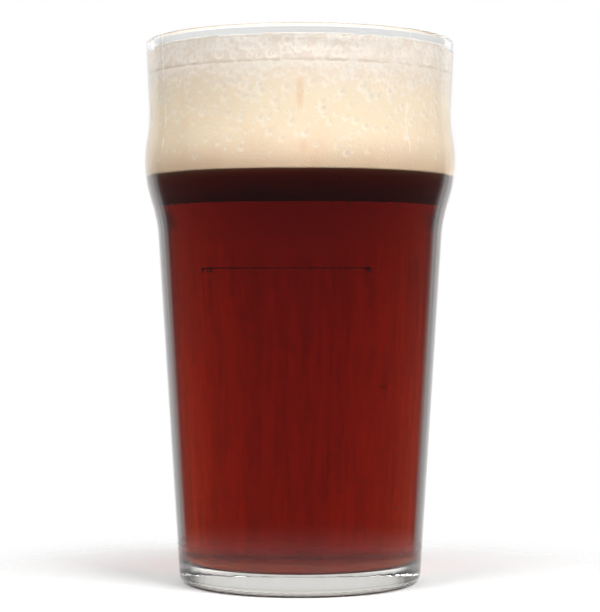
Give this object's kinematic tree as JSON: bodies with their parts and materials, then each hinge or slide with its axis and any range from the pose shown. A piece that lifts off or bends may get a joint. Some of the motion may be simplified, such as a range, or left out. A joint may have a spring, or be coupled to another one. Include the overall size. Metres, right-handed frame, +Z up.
{
  "type": "pint glass",
  "caption": "Tapered pint glass with a shoulder bulge below its rim, holding dark red-brown beer under a deep pale head of foam.",
  "frame": {"origin": "centre of the ring the glass stands on, at the table", "axes": "+Z up along the glass's axis; -Y towards the camera of the picture; the fill line is on the +Y side"},
  "size_m": [0.0856, 0.0856, 0.149],
  "materials": {
    "glass": "gloss",
    "beer": "gloss",
    "foam": "matte"
  },
  "bodies": {
    "root": {"glass_body": "glass", "beer": "beer", "foam_head": "foam"}
  },
  "joints": []
}
